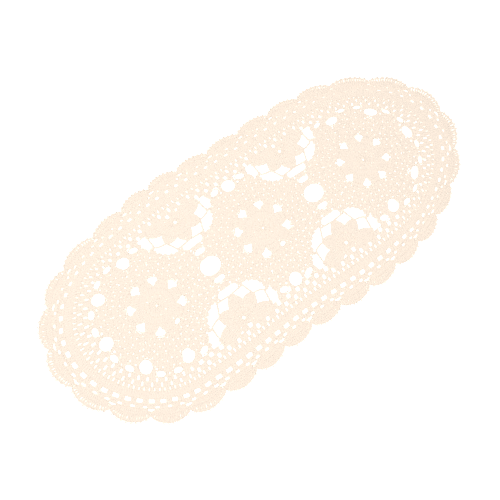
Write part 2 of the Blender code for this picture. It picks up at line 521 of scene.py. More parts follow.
class Strands:
    """Gathers swept strands of cotton and turns them into one mesh."""

    CORNERS = 4
    MAP_EDGE = 0.01  # that the map of the whole piece stays clear of, on each side

    def __init__(self) -> None:
        """Starts with nothing gathered."""
        self.points: list[np.ndarray] = []
        self.faces: list[np.ndarray] = []
        self.maps: list[np.ndarray] = []
        self.normals: list[np.ndarray] = []
        self.count = 0

    def triangles(self) -> int:
        """How many triangles are gathered."""
        return sum(2 * len(faces) for faces in self.faces)

    def sweep(
        self,
        paths: np.ndarray,
        half_width: Amount,
        half_height: float,
        closed: bool = False,
        roundness: Amount = 1.0,
    ) -> None:
        """Sweeps a rounded section along many paths at once.

        Args:
            paths: centrelines, as (paths, points, 3).
            half_width: half of the section across the path, in the cloth's plane.
            half_height: half of the section out of the plane.
            closed: whether each path runs back into its start.
            roundness: how round the section shades, from 0 for flat faces to 1.
        """
        number, length, _ = paths.shape
        wide = np.broadcast_to(np.asarray(half_width, float), (number, length))
        ahead = heading(paths, closed)
        side = unit(np.concatenate([rightward(ahead), np.zeros((number, length, 1))], -1))
        up = np.cross(side, ahead)
        angles = np.arange(self.CORNERS) * FULL_TURN / self.CORNERS
        rings = (
            paths[:, :, None, :]
            + wide[:, :, None, None] * np.cos(angles)[:, None] * side[:, :, None, :]
            + half_height * np.sin(angles)[:, None] * up[:, :, None, :]
        )
        index = np.arange(number * length * self.CORNERS)
        index = index.reshape(number, length, self.CORNERS) + self.count
        near, far = self._ends(index, closed)
        quads = np.stack([near, far, np.roll(far, -1, 2), np.roll(near, -1, 2)], -1)
        self.points.append(rings.reshape(-1, 3))
        self.faces.append(quads.reshape(-1, 4))
        self.maps.append(self._strand_map(paths, closed))
        middle = (np.arange(self.CORNERS) + 0.5) * FULL_TURN / self.CORNERS
        round_at = np.broadcast_to(np.asarray(roundness, float), (number, length))
        bend = round_at[:, :, None] * np.pi / self.CORNERS
        corners = []
        for turned in (middle - bend, middle + bend):
            out = half_height * np.cos(turned)[..., None] * side[:, :, None, :]
            out = out + wide[:, :, None, None] * np.sin(turned)[..., None] * up[:, :, None, :]
            corners.append(self._ends(unit(out), closed))
        order = (corners[0][0], corners[0][1], corners[1][1], corners[1][0])
        self.normals.append(np.stack(order, -2).reshape(-1, 4, 3))
        if not closed:
            self.faces += [index[:, 0], index[:, -1, ::-1]]
            self.maps.append(np.zeros((2 * number, 4, 2)))
            for way, end in ((-1, 0), (1, -1)):
                self.normals.append(np.repeat(way * ahead[:, end, None], 4, axis=1))
        self.count += number * length * self.CORNERS

    @staticmethod
    def _ends(values: np.ndarray, closed: bool) -> tuple[np.ndarray, np.ndarray]:
        """Values along paths, at the near and at the far end of each step."""
        return (values, np.roll(values, -1, 1)) if closed else (values[:, :-1], values[:, 1:])

    def _strand_map(self, paths: np.ndarray, closed: bool) -> np.ndarray:
        """Maps the swept faces by the length along the path and the share of the way round it.

        Args:
            paths: centrelines, as (paths, points, 3).
            closed: whether each path runs back into its start.

        Returns:
            The places of the faces' corners, as (faces, 4, 2).
        """
        steps = np.linalg.norm(np.diff(paths, axis=1), axis=-1)
        run = np.concatenate([np.zeros((len(paths), 1)), np.cumsum(steps, axis=1)], 1)
        if closed:
            back = np.linalg.norm(paths[:, :1] - paths[:, -1:], axis=-1)
            run = np.concatenate([run, run[:, -1:] + back], 1)
        turn = np.arange(self.CORNERS) / self.CORNERS
        start, end, turn = np.broadcast_arrays(run[:, :-1, None], run[:, 1:, None], turn)
        after = turn + 1 / self.CORNERS
        corners = np.stack([start, turn, end, turn, end, after, start, after], -1)
        return corners.reshape(-1, 4, 2)

    def piece(self, name: str, finish: bpy.types.Material) -> bpy.types.Object:
        """Makes the object that holds all gathered strands.

        Args:
            name: the piece's name.
            finish: its material.

        Returns:
            The new object, linked to the scene.
        """
        points = np.concatenate(self.points)
        faces = np.concatenate(self.faces)
        mesh = bpy.data.meshes.new(name)
        mesh.vertices.add(len(points))
        mesh.vertices.foreach_set("co", points.astype(np.float32).ravel())
        mesh.loops.add(faces.size)
        mesh.loops.foreach_set("vertex_index", faces.astype(np.int32).ravel())
        mesh.polygons.add(len(faces))
        mesh.polygons.foreach_set("loop_start", np.arange(0, faces.size, 4, dtype=np.int32))
        mesh.polygons.foreach_set("use_smooth", np.ones(len(faces), bool))
        mesh.update(calc_edges=True)
        low, high = points.min(0), points.max(0)
        flat = (points[:, :2] - low[:2]) / (high[:2] - low[:2])
        flat = flat * (1 - 2 * self.MAP_EDGE) + self.MAP_EDGE
        for title, places in (
            ("strand", np.concatenate(self.maps)),
            ("OFBake", flat[faces.ravel()]),
        ):
            layer = mesh.uv_layers.new(name=title)
            layer.data.foreach_set("uv", places.astype(np.float32).ravel())
        mesh.normals_split_custom_set(np.concatenate(self.normals).reshape(-1, 3))
        mesh.materials.append(finish)
        return linked(name, mesh)


@dataclass
class Hook:
    """Works stitches: each one a body of yarn with twisted strands on it."""

    hand: Handwork
    bodies: Strands
    openings: list[Opening]
    thread: float = 0.00033  # radius of one strand
    middle: float = 0.00078  # height of the cloth's middle
    slow_rise: float = 0.00014  # half of how far its broad swells stand off the table
    quick_rise: float = 0.00006  # the same of its small ones
    swing: float = 0.29  # from a stitch's line to its strands, as a share of its room
    widest_swing: float = 0.00085
    lift: float = 0.00022  # of a strand above or below the middle
    first_phase: float = 0.6  # of a stitch's twist at its foot, on average
    wrap_slant: float = 0.055  # of a yarn-over, for a strand of one turn
    wrap_lift: float = 0.00030
    wrap_thread: float = 0.85  # its radius, as a share of a strand's
    link: float = 0.00042  # half of a chain link's width, to its strands
    link_spread: tuple[float, ...] = (0.34, 1.0, 0.80)  # of its strands, point by point
    link_lift: tuple[float, ...] = (0.00004, 0.00025, -0.00020)
    link_body: float = 0.00057  # half of the width of a chain's body
    core: float = 0.00037  # half of the height of the body that the strands wind on
    plump: Pair = (0.3, 0.55)  # roundness of loose and of snug bodies
    loose: float = 0.00009  # how far a stitch strays
    link_loose: float = 0.00002  # how far a chain link strays up or down
    clear: float = 0.0006  # that a cut stitch keeps from an opening
    shortest: float = 0.0013  # that a cut stitch may be
    collar_width: float = 0.95
    picot_half: float = 0.00095  # of a picot's width
    strands: Strands = field(default_factory=Strands)
    chance: np.random.Generator = field(default_factory=lambda: np.random.default_rng(11))

    def finish(self, name: str, finish: bpy.types.Material) -> bpy.types.Object:
        """Turns the strands so far into a piece, reports it and starts on a new one.

        Args:
            name: the piece's name.
            finish: its material.

        Returns:
            The piece.
        """
        log.info("%s: %d triangles", name, self.strands.triangles())
        made = self.strands.piece(name, finish)
        self.strands = Strands()
        return made

    def rise(self, flat: np.ndarray) -> np.ndarray:
        """Finds how far the cloth stands off the table, as cotton never lies dead flat.

        Args:
            flat: points, as (..., 2).

        Returns:
            The heights.
        """
        x, y = flat[..., 0], flat[..., 1]
        slow = np.sin(31 * x + 17 * y) * np.sin(43 * y - 12 * x + 1.0)
        quick = np.sin(210 * x + 1.3) * np.sin(190 * y + 0.4)
        return self.slow_rise * (1 + slow) + self.quick_rise * (1 + quick)

    def plumpness(self, flat: np.ndarray) -> np.ndarray:
        """How round the bodies shade at flat points: snug stitches stand up more."""
        return self.plump[0] + (self.plump[1] - self.plump[0]) * self.hand.snugness(flat)

    def laid(self, flat: np.ndarray, height: Amount) -> np.ndarray:
        """Gives points their heights, as they lie in the piece.

        Args:
            flat: points already moved by the hand, as (..., 2).
            height: their heights above the lowest strand.

        Returns:
            Points as (..., 3).
        """
        height = np.broadcast_to(height, flat.shape[:-1])
        return np.concatenate([flat, (height + self.rise(flat))[..., None]], -1)

    def in_opening(self, points: np.ndarray) -> np.ndarray:
        """Tells which points of the even pattern lie in an opening, or too close to one.

        Args:
            points: as (..., 2).

        Returns:
            A mask of the points.
        """
        found = np.zeros(points.shape[:-1], bool)
        for opening in self.openings:
            found |= opening.holds(points, self.clear)
        return found

    def trimmed(self, marks: np.ndarray) -> tuple[np.ndarray, np.ndarray]:
        """Shortens stitches that would cross an opening to their longest free stretch.

        Args:
            marks: the stitches' marks, as (stitches, 2 or 3, 2).

        Returns:
            The marks of the stitches that are left, and a mask of which they are.
        """
        t = np.linspace(0.0, 1.0, 17)
        free = ~self.in_opening(through(marks, t))
        kept = np.ones(len(marks), bool)
        marks = marks.copy()
        for row in np.flatnonzero(~free.all(1)):
            found = runs(free[row])
            if len(found) == 0:
                kept[row] = False
                continue
            start, stop = found[np.argmax(found[:, 1] - found[:, 0])]
            share = t[[start, stop - 1]]
            if marks.shape[1] == 3:
                share = np.array((share[0], share.mean(), share[1]))
            marks[row] = through(marks[row : row + 1], share)[0]
            kept[row] = np.linalg.norm(marks[row, -1] - marks[row, 0]) > self.shortest
        return marks[kept], kept

    def posts(
        self,
        marks: np.ndarray,
        stitch: Stitch = Stitch.TALL,
        room: tuple[Amount, Amount] = (0.0021, 0.0021),
        high: float = 0.0,
        cut: bool = True,
    ) -> None:
        """Works upright stitches between marks.

        Args:
            marks: for each stitch its foot, a point on the way if it bends, and its head, as
                (stitches, 2 or 3, 2) in the even pattern.
            stitch: the kind of stitch.
            room: the room from one stitch to the next, at the feet and at the heads.
            high: how far it stands out of the cloth.
            cut: whether stitches are shortened at openings.
        """
        room_foot, room_head = (np.broadcast_to(np.asarray(r, float), len(marks)) for r in room)
        if cut and self.openings:
            marks, kept = self.trimmed(marks)
            room_foot, room_head = room_foot[kept], room_head[kept]
        if len(marks) == 0:
            return
        marks = marks + self.chance.normal(0.0, self.loose, marks.shape)
        cast = stitch.value
        t = np.linspace(0.0, 1.0, cast.steps)
        line = self.hand.made(through(marks, t))
        side = rightward(heading(line))
        space = room_foot[:, None] * (1 - t) + room_head[:, None] * t
        swing = np.minimum(self.swing * space, self.widest_swing)
        swing = swing * np.sin(np.pi * np.clip(t, 0.06, 0.94)) ** 0.3
        out = high * np.sin(np.pi * t)
        start = self.chance.uniform(-0.5, 0.5, (len(marks), 1)) + self.first_phase
        for half in (0.0, np.pi):
            phase = start + half + FULL_TURN * cast.turns * t
            height = self.middle + out + self.lift * np.sin(phase)
            path = self.laid(line + (swing * np.cos(phase))[..., None] * side, height)
            self.strands.sweep(path, self.thread, self.thread)
        self._wraps(line, side, swing, out, t, cast)
        places = np.linspace(0.0, 1.0, len(cast.body))
        core = self.hand.made(through(marks, places))
        wide = room_foot[:, None] * (1 - places) + room_head[:, None] * places
        wide = 0.5 * wide * np.array(cast.body)
        height = self.middle + high * np.sin(np.pi * places) ** 0.5
        self.bodies.sweep(self.laid(core, height), wide, self.core, False, self.plumpness(core))

    def _wraps(
        self,
        line: np.ndarray,
        side: np.ndarray,
        swing: np.ndarray,
        out: np.ndarray,
        t: np.ndarray,
        cast: Cast,
    ) -> None:
        """Works the yarn-overs that slant round each upright.

        Args:
            line: the uprights' centrelines, as (stitches, points, 2).
            side: their sideways unit vectors.
            swing: how far their strands lie from the centreline.
            out: how far each point stands out of the cloth.
            t: the share of the height at each point.
            cast: how the stitches are made up.
        """
        turn = np.arange(4) * np.pi / 2 + 0.4
        thread = self.thread * self.wrap_thread
        for place in cast.wraps:
            share = place + self.wrap_slant / cast.turns * np.cos(turn)
            low = np.clip(np.searchsorted(t, share) - 1, 0, len(t) - 2)
            part = ((share - t[low]) / (t[low + 1] - t[low]))[None, :, None]
            centre = line[:, low] * (1 - part) + line[:, low + 1] * part
            at = round(place * (len(t) - 1))
            across = (swing[:, at, None] + 0.8 * self.thread) * np.cos(turn)
            height = self.middle + np.interp(share, t, out) + self.wrap_lift * np.sin(turn)
            path = self.laid(centre + across[..., None] * side[:, at, None], height)
            self.strands.sweep(path, thread, thread, closed=True)

    def chain(
        self,
        path: np.ndarray,
        link_length: float = 0.0025,
        closed: bool = False,
        width: Amount = 1.0,
        high: float = 0.0,
        cut: bool = True,
    ) -> None:
        """Works a chain along a line, left out where the line crosses an opening.

        Args:
            path: the line's points, as (points, 2) in the even pattern.
            link_length: about how long a link is.
            closed: whether the line runs back into its start.
            width: the chain's width as a share of the usual; one for each point only where the
                chain is not cut.
            high: how far it stands out of the cloth.
            cut: whether the chain stops at openings.
        """
        free = np.ones(len(path), bool)
        if cut and self.openings:
            free = ~self.in_opening(path)
        if free.all():
            self._links(path, link_length, closed, width, high)
            return
        for stretch in stretches(path, free, closed):
            if len(stretch) > 1:
                self._links(stretch, link_length, False, width, high)

    def _links(
        self, path: np.ndarray, link_length: float, closed: bool, width: Amount, high: float
    ) -> None:
        """Works a whole number of links along a free line.

        Args:
            path: the line's points, as (points, 2) in the even pattern.
            link_length: about how long a link is.
            closed: whether the line runs back into its start.
            width: the chain's width as a share of the usual.
            high: how far it stands out of the cloth.
        """
        line = self.hand.made(path)
        wide = np.broadcast_to(np.asarray(width, float), len(line))
        if closed:
            line, wide = np.concatenate([line, line[:1]]), np.append(wide, wide[0])
        run = np.concatenate([[0], np.cumsum(np.linalg.norm(np.diff(line, axis=0), axis=1))])
        links = max(3 if closed else 1, round(run[-1] / link_length))
        steps = len(self.link_spread)
        number = links * steps + (0 if closed else 1)
        at = np.arange(number) / (links * steps) * run[-1]
        even = np.stack([np.interp(at, run, line[:, k]) for k in (0, 1)], -1)
        side = rightward(heading(even, closed))
        wide = np.interp(at, run, wide)
        phase = np.arange(number) % steps
        spread = np.array(self.link_spread)[phase] * self.link * wide
        height = np.array(self.link_lift)[phase] + self.middle + high
        height = height + self.chance.normal(0.0, self.link_loose, number)
        for way in (-1, 1):
            strand = self.laid(even + way * spread[:, None] * side, height)
            self.strands.sweep(strand[None], self.thread, self.thread, closed)
        core, wide = even[None, ::steps], self.link_body * wide[None, ::steps]
        laid = self.laid(core, self.middle + high)
        self.bodies.sweep(laid, wide, self.core, closed, self.plumpness(core))

    def collar(self, opening: Opening) -> None:
        """Works a chain round an opening."""
        rim = opening.rim(self.clear, max(24, round(opening.girth() / 0.0008)))
        self.chain(rim, 0.0026, closed=True, width=self.collar_width, cut=False)

    def half_collar(self, opening: Opening) -> None:
        """Works a chain round the outer half of an opening."""
        rim = np.roll(opening.rim(self.clear, 40), 12, 0)[:25]
        self.chain(rim, 0.0024, width=self.collar_width, cut=False)

    def picots(self, feet: np.ndarray, tips: np.ndarray) -> None:
        """Works small loops that stand out from an edge.

        Args:
            feet: where the loops start, as (loops, 2) in the even pattern.
            tips: where they reach to.
        """
        turn = np.arange(7) * FULL_TURN / 7
        foot = self.hand.made(feet)
        out = self.hand.made(tips) - foot
        share = 0.5 - 0.5 * np.cos(turn)
        across = self.picot_half * np.sin(turn) * (0.6 + 0.7 * share)
        path = foot[:, None] + share[None, :, None] * out[:, None]
        path = path + across[None, :, None] * unit(rightward(out))[:, None]
        laid = self.laid(path, self.middle + 0.00020 * np.cos(turn * 2))
        self.strands.sweep(laid, self.thread * 1.5, self.thread * 1.2, closed=True)


class Work(Protocol):
    """A part of the doily that a hook can work."""

    def work(self, hook: Hook) -> None:
        """Works its stitches."""


@dataclass(frozen=True)
class RoundMotif:
    """One of the three round motifs: centre, petals, and rounds of uprights with a lobed edge."""

    centre_x: float
    notch_reach: tuple[float, ...]  # of the lobed edge, at each eighth of a turn from +X
    tip_reach: tuple[float, ...]  # of its lobes, half an eighth further on
    ring_reach: float = 0.0015
    disc_reach: float = 0.0066
    core_reach: float = 0.0106
    petal_shoulder: float = 0.0190
    ring_middle: float = 0.0240
    petal_head: float = 0.0246
    field_reach: float = 0.0290
    tuck: float = 0.0004  # that a stitch's end stays inside the line it is worked to
    pair_middle: float = 12.5  # in degrees from +X, of the first pair of uprights
    pair_half: float = 8.6
    # Degrees from a petal's line to its middle stitch, and from stitch to stitch, at each mark.
    petal_fan: tuple[Pair, ...] = ((-5.5, 6.4), (-4.2, 6.5), (-3.0, 2.45))
    shoulder_fan: tuple[Pair, ...] = ((-3.0, 2.4), (-1.8, 3.6))
    petal_bulge: float = 0.0003
    petal_high: float = 0.0002  # how far petals stand out of the cloth
    ring_step: float = 4.2  # in degrees, between the uprights round a ring opening
    counts: tuple[int, ...] = (24, 24, 32, 32, 40)  # forked groups in each round of the field
    round_height: Pair = (0.0057, 0.0064)  # at the spokes and in the lobes
    fork_foot: float = 0.125  # from a fork's line to the middle of its arm's foot
    arm_room: float = 0.295  # that each of an arm's two uprights fills
    arm_tuck: float = 0.0003
    least_rise: float = 0.0018  # that a round needs for uprights
    edge_clear: float = 0.0012  # that a round's chain keeps from the lobed edge
    petals: int = 8

    @property
    def centre(self) -> Pair:
        """The motif's centre in the even pattern."""
        return (self.centre_x, 0.0)

    def edge(self, angle: Amount) -> np.ndarray:
        """Finds the reach of the lobed edge.

        Args:
            angle: angles from +X.

        Returns:
            The reaches.
        """
        eighths = np.mod(angle, FULL_TURN) / (np.pi / 4)
        notch = np.round(eighths).astype(int)
        low = np.array(self.notch_reach)[notch % 8]
        high = np.array(self.tip_reach)[np.floor(eighths).astype(int) % 8]
        return low + (high - low) * np.sin(np.pi / 2 * np.abs(eighths - notch) * 2)

    def round_reach(self, angle: np.ndarray, number: float) -> np.ndarray:
        """Finds the reach of the top of a round of the field.

        Args:
            angle: angles from +X.
            number: the round; 0 is the field's start.

        Returns:
            The reaches, no further than the lobed edge.
        """
        low, high = self.round_height
        height = low + (high - low) * np.abs(np.sin(4 * angle))
        return np.minimum(self.field_reach + height * number, self.edge(angle))

    def work(self, hook: Hook) -> None:
        """Works the whole motif.

        Args:
            hook: what works the stitches.
        """
        self._middle(hook)
        self._petals(hook)
        self._ring(hook)
        self._field(hook)

    def _middle(self, hook: Hook) -> None:
        """Works the starting ring, a close round on it and a round of paired uprights.

        Args:
            hook: what works the stitches.
        """
        way = np.linspace(0, FULL_TURN, 40, endpoint=False)
        for reach in (self.ring_reach, self.disc_reach, self.core_reach):
            hook.chain(polar(self.centre, way, reach), 0.0023, closed=True, width=1.1)
        close = np.radians(30 * np.arange(12.0))
        pair = self.pair_middle + 45 * np.arange(8)[:, None]
        pair = np.radians(pair + np.array((-self.pair_half, self.pair_half))).ravel()
        rounds = (
            (close, self.ring_reach, self.disc_reach, (0.0014, 0.0033)),
            (pair, self.disc_reach, self.core_reach, (0.0036, 0.0043)),
        )
        for angle, low, high, room in rounds:
            marks = rays(self.centre, (angle, angle), (low + self.tuck, high - self.tuck))
            hook.posts(marks, Stitch.LOW, room)

    def _fanned(self, fan: tuple[Pair, ...], across: np.ndarray) -> tuple[np.ndarray, ...]:
        """Spreads stitches over every petal.

        Args:
            fan: degrees from the petal's line and from stitch to stitch, at each mark.
            across: the stitches' places, counted from the petal's middle.

        Returns:
            Their angles at each mark, petal by petal.
        """
        turn = 45 * np.arange(self.petals)[:, None]
        return tuple(np.radians(turn + lean + step * across).ravel() for lean, step in fan)

    def _petals(self, hook: Hook) -> None:
        """Works the petals, the stitches that widen from their heads, and their knots.

        Args:
            hook: what works the stitches.
        """
        across = np.arange(7) - 3
        bulge = np.tile(self.petal_bulge * np.abs(across) ** 0.8, self.petals)
        low = self.core_reach + self.tuck
        reaches = (low, self.petal_shoulder - bulge, self.petal_head + bulge)
        marks = rays(self.centre, self._fanned(self.petal_fan, across), reaches)
        hook.posts(marks, Stitch.PETAL, (0.0021, 0.0020), high=self.petal_high, cut=False)
        angles = self._fanned(self.shoulder_fan, np.array((-3, -1, 1, 3)))
        reaches = (self.petal_head - 0.0002, self.field_reach - self.tuck)
        hook.posts(rays(self.centre, angles, reaches), Stitch.LOW, (0.0022, 0.0036), cut=False)
        lean = self.petal_fan[-1][0]
        for petal in range(self.petals):
            knot = np.radians(45 * petal + lean + np.linspace(-8, 8, 8))
            line = polar(self.centre, knot, self.petal_head + 0.0002)
            hook.chain(line, high=self.petal_high, cut=False)

    def _ring(self, hook: Hook) -> None:
        """Works short uprights and a collar round each opening between the petals.

        Args:
            hook: what works the stitches.
        """
        across = np.arange(7) - 3
        rows = (self.petal_shoulder + 0.0010, self.ring_middle, self.field_reach - self.tuck)
        for opening in hook.openings:
            away = np.hypot(opening.centre[0] - self.centre_x, opening.centre[1])
            if away > self.field_reach:
                continue
            lean = opening.direction + np.radians(self.ring_step * across)
            for row in zip(rows, rows[1:]):
                hook.posts(rays(self.centre, (lean, lean), row), Stitch.LOW, (0.0018, 0.0020))
            if opening.kind is OpeningKind.START_RING:
                hook.collar(opening)
            else:
                hook.half_collar(opening)

    def _field(self, hook: Hook) -> None:
        """Works the rounds of forked groups, each under its chain, and the lobed edge.

        Args:
            hook: what works the stitches.
        """
        way = np.linspace(0, FULL_TURN, 720, endpoint=False)
        arms = np.array((-1, -1, 1, 1))
        halves = np.array((-0.5, 0.5, -0.5, 0.5)) * self.arm_room
        for number, count in enumerate(self.counts):
            pitch = FULL_TURN / count
            line = (np.arange(count)[:, None] + 0.5) * pitch
            foot, head = (
                (line + (arms * share + halves) * pitch).ravel()
                for share in (self.fork_foot, 0.5 - self.fork_foot)
            )
            low, high = self.round_reach(foot, number), self.round_reach(head, number + 1)
            tall = high - low > self.least_rise
            room = self.arm_room * pitch
            marks = rays(self.centre, (foot, head), (low + self.arm_tuck, high - self.arm_tuck))
            hook.posts(marks[tall], Stitch.TALL, (room * low[tall], room * high[tall]))
            reach = self.round_reach(way, number)
            inside = reach < self.edge(way) - self.edge_clear
            chain = polar(self.centre, way, reach)
            if inside.all():
                hook.chain(chain, closed=True)
            else:
                for stretch in stretches(chain, inside, True):
                    hook.chain(stretch)
        hook.chain(polar(self.centre, way, self.edge(way)), closed=True)


@dataclass(frozen=True)
class FlowerPetal:
    """One petal of a flower: the first and last angle of its foot, shoulder and head."""

    foot: Pair
    shoulder: Pair
    head: Pair
    reaches: tuple[float, float, float]


@dataclass(frozen=True)
class Flower:
    """A small flower in a hollow between two round motifs: petals and loops that join them."""

    side_x: int
    side_y: int
    centre_x: float = PITCH / 2
    centre_y: float = 0.0558
    ring_reach: float = 0.0019
    core_reach: float = 0.0094
    tuck: float = 0.0004  # that a stitch's end stays inside the line it is worked to
    uprights: int = 7  # in a petal
    petal_bulge: float = 0.0006
    petal_high: float = 0.0002  # how far petals stand out of the cloth
    upper: float = 118.0  # degrees to either side that the core's uprights go
    lower: tuple[float, ...] = (133.0, 156.0, 180.0, 204.0, 227.0)  # uprights to the border
    rim: float = 125.0  # degrees to either side that the core's chain goes
    loop_width: float = 1.9
    petals: tuple[FlowerPetal, ...] = (
        FlowerPetal((-28, 28), (-28, 28), (-8, 8), (0.0098, 0.0158, 0.0222)),
        FlowerPetal((30, 86), (36, 80), (50, 64), (0.0098, 0.0172, 0.0228)),
        FlowerPetal((-86, -30), (-80, -36), (-64, -50), (0.0098, 0.0172, 0.0228)),
        FlowerPetal((84, 132), (84, 122), (95, 108), (0.0098, 0.0205, 0.0290)),
        FlowerPetal((-132, -84), (-122, -84), (-108, -95), (0.0098, 0.0205, 0.0290)),
    )
    # The loops on one side, as angles and reaches from the centre.
    loops: tuple[Pair, ...] = (
        (0.0, 0.0228),
        (17.6, 0.0247),
        (32.0, 0.0283),
        (42.3, 0.0252),
        (58.3, 0.0234),
        (65.4, 0.0278),
        (72.4, 0.0317),
        (85.0, 0.0303),
        (100.0, 0.0297),
    )

    def points(self, angle: Amount, reach: Amount) -> np.ndarray:
        """Finds points round the flower.

        Args:
            angle: degrees from the line to the doily's middle.
            reach: distances from the flower's centre.

        Returns:
            The points, as (..., 2).
        """
        turn = np.radians(np.asarray(angle, float))
        x = self.side_x * self.centre_x + reach * np.sin(turn)
        y = self.side_y * (self.centre_y - reach * np.cos(turn))
        return np.stack(np.broadcast_arrays(x, y), -1)

    def work(self, hook: Hook) -> None:
        """Works the flower and its loops.

        Args:
            hook: what works the stitches.
        """
        way = np.linspace(0, 360, 40, endpoint=False)
        hook.chain(self.points(way, self.ring_reach), 0.0021, closed=True)
        upper, lower = np.linspace(-self.upper, self.upper, 14), np.array(self.lower)
        drop = (BASE_REACH - self.centre_y) / np.abs(np.cos(np.radians(lower)))
        rounds = (
            (upper, self.core_reach - self.tuck, (0.0014, 0.0030)),
            (lower, drop - 0.0003, (0.0016, 0.0034)),
        )
        for angle, reach, room in rounds:
            foot, head = (self.points(angle, r) for r in (self.ring_reach + self.tuck, reach))
            hook.posts(np.stack([foot, head], 1), Stitch.LOW, room)
        hook.chain(self.points(np.linspace(-self.rim, self.rim, 40), self.core_reach), 0.0024)
        for petal in self.petals:
            self._petal(hook, petal)
        for side in (-1, 1):
            self._loops(hook, side)

    def _petal(self, hook: Hook, petal: FlowerPetal) -> None:
        """Works one petal of uprights whose heads are drawn together.

        Args:
            hook: what works the stitches.
            petal: where they stand.
        """
        share = np.linspace(0, 1, self.uprights)
        low, mid, top = petal.reaches
        bulge = self.petal_bulge * np.abs(2 * share - 1) ** 1.5
        spans = (petal.foot, petal.shoulder, petal.head)
        marks = [
            self.points(first + (last - first) * share, reach)
            for (first, last), reach in zip(spans, (low, mid - bulge, top - bulge))
        ]
        room = (0.0022, 0.0021)
        hook.posts(np.stack(marks, 1), Stitch.PETAL, room, high=self.petal_high, cut=False)
        knot = np.linspace(petal.head[0] - 1, petal.head[1] + 1, 6)
        hook.chain(self.points(knot, top + 0.0001), high=self.petal_high, cut=False)

    def _loops(self, hook: Hook, side: int) -> None:
        """Works the chain loops of one side, from the first petal out to each join.

        Args:
            hook: what works the stitches.
            side: 1 or -1.
        """
        angles, reaches = np.array(self.loops).T
        knots = self.points(side * angles, reaches)
        for start in range(0, len(knots) - 1, 2):
            line = through(knots[None, start : start + 3], np.linspace(0, 1, 16))[0]
            hook.chain(line, 0.0024, width=self.loop_width, cut=False)


@dataclass(frozen=True)
class Ties:
    """The stitches that join the round motifs to each other and to the border."""

    motifs: tuple[RoundMotif, ...]
    oval: Oval = Oval()
    layout: Layout = Layout()
    spacing: float = 0.0023  # from one tie to the next
    bar_spacing: float = 0.92  # of the bars between motifs, as a share of it
    bar_span: float = 0.0244  # how far from the long centre line the bars between motifs reach
    sector: float = math.radians(118)  # how far round the end motifs face the border
    middle_sector: float = math.radians(28)  # the same of the middle one, from its sides
    notch_reach: Pair = (0.050, 0.058)  # from a motif's centre to its notch openings
    notch_leans: tuple[float, ...] = (-5.0, -2.6, 0.0, 2.6, 5.0)  # degrees, of ties beyond them
    tuck: float = 0.0004  # that a stitch's end stays inside the line it is worked to

    def work(self, hook: Hook) -> None:
        """Works every tie, a chain round each opening between, and the border's first chain.

        Args:
            hook: what works the stitches.
        """
        for left, right in zip(self.motifs, self.motifs[1:]):
            self._between(hook, left, right)
        for motif in self.motifs:
            if motif.centre_x == 0:
                for side in (-1, 1):
                    self._to_border(hook, motif, side * math.pi / 2, self.middle_sector)
            else:
                way_out = 0.0 if motif.centre_x > 0 else math.pi
                self._to_border(hook, motif, way_out, self.sector)
        for opening in self.layout.joints() + self.layout.notches():
            hook.collar(opening)
        way = np.linspace(0, 1, 1440, endpoint=False)
        hook.chain(self.oval.points(way, BASE_REACH), 0.0026, closed=True, cut=False)

    def _between(self, hook: Hook, left: RoundMotif, right: RoundMotif) -> None:
        """Works level bars between two motifs, but for the openings between them.

        Args:
            hook: what works the stitches.
            left: the motif towards -X.
            right: the motif towards +X.
        """
        step = self.spacing * self.bar_spacing
        heights = np.arange(-self.bar_span, self.bar_span + 1e-6, step)
        first = np.stack([self._meet(left, height, 1) for height in heights])
        last = np.stack([self._meet(right, height, -1) for height in heights])
        middle = (first + last) / 2
        for half in (np.stack([first, middle], 1), np.stack([middle, last], 1)):
            hook.posts(half, Stitch.LOW, (self.spacing, self.spacing))

    @staticmethod
    def _meet(motif: RoundMotif, height: float, side: int) -> np.ndarray:
        """Finds where a level line meets a motif's lobed edge.

        Args:
            motif: the motif.
            height: of the line, from the long centre line.
            side: 1 for the motif's right side, -1 for its left.

        Returns:
            The point.
        """
        places = np.arange(60)
        signed = math.copysign(1, height) * np.linspace(0, math.radians(34), len(places))
        way = signed if side > 0 else np.pi - signed
        edge = polar(motif.centre, way, motif.edge(way))
        at = np.interp(abs(height), np.abs(edge[:, 1]), places)
        return np.array((np.interp(at, places, edge[:, 0]), height))

    @staticmethod
    def _base(motif: RoundMotif, angle: np.ndarray) -> np.ndarray:
        """Finds how far the border's first chain is from a motif's centre.

        Args:
            motif: the motif.
            angle: angles from +X.

        Returns:
            The reaches.
        """
        outer = np.cos(angle) * motif.centre_x > 0
        return np.where(outer, BASE_REACH, BASE_REACH / np.abs(np.sin(angle)))

    def _to_border(self, hook: Hook, motif: RoundMotif, way_out: float, spread: float) -> None:
        """Works uprights from a motif's edge to the border, on both sides of each opening.

        Args:
            hook: what works the stitches.
            motif: the motif.
            way_out: the angle that it faces.
            spread: how far to each side of that angle the uprights go.
        """
        number = round(2 * spread * BASE_REACH / self.spacing)
        angle = way_out + np.linspace(-spread, spread, number)
        near, far = motif.edge(angle), self._base(motif, angle)
        marks = rays(motif.centre, (angle, angle), (near, far - self.tuck))
        room = (self.spacing, self.spacing * 1.05)
        hook.posts(marks[far - near > hook.shortest], Stitch.LOW, room)
        for opening in self.layout.notches():
            reach = np.linalg.norm(np.array(opening.centre) - np.array(motif.centre))
            is_notch = opening.kind in (OpeningKind.NOTCH, OpeningKind.SLIM_NOTCH)
            if not is_notch or not self.notch_reach[0] < reach < self.notch_reach[1]:
                continue
            lean = np.radians(self.notch_leans)
            start = reach + opening.kind.value.half_length * np.cos(lean * 9)
            lean = opening.direction + lean
            stop = self._base(motif, lean)
            marks = rays(motif.centre, (lean, lean), (start + 0.0008, stop))
            marks = marks[stop - start > hook.shortest + self.tuck]
            hook.posts(marks, Stitch.LOW, room, cut=False)


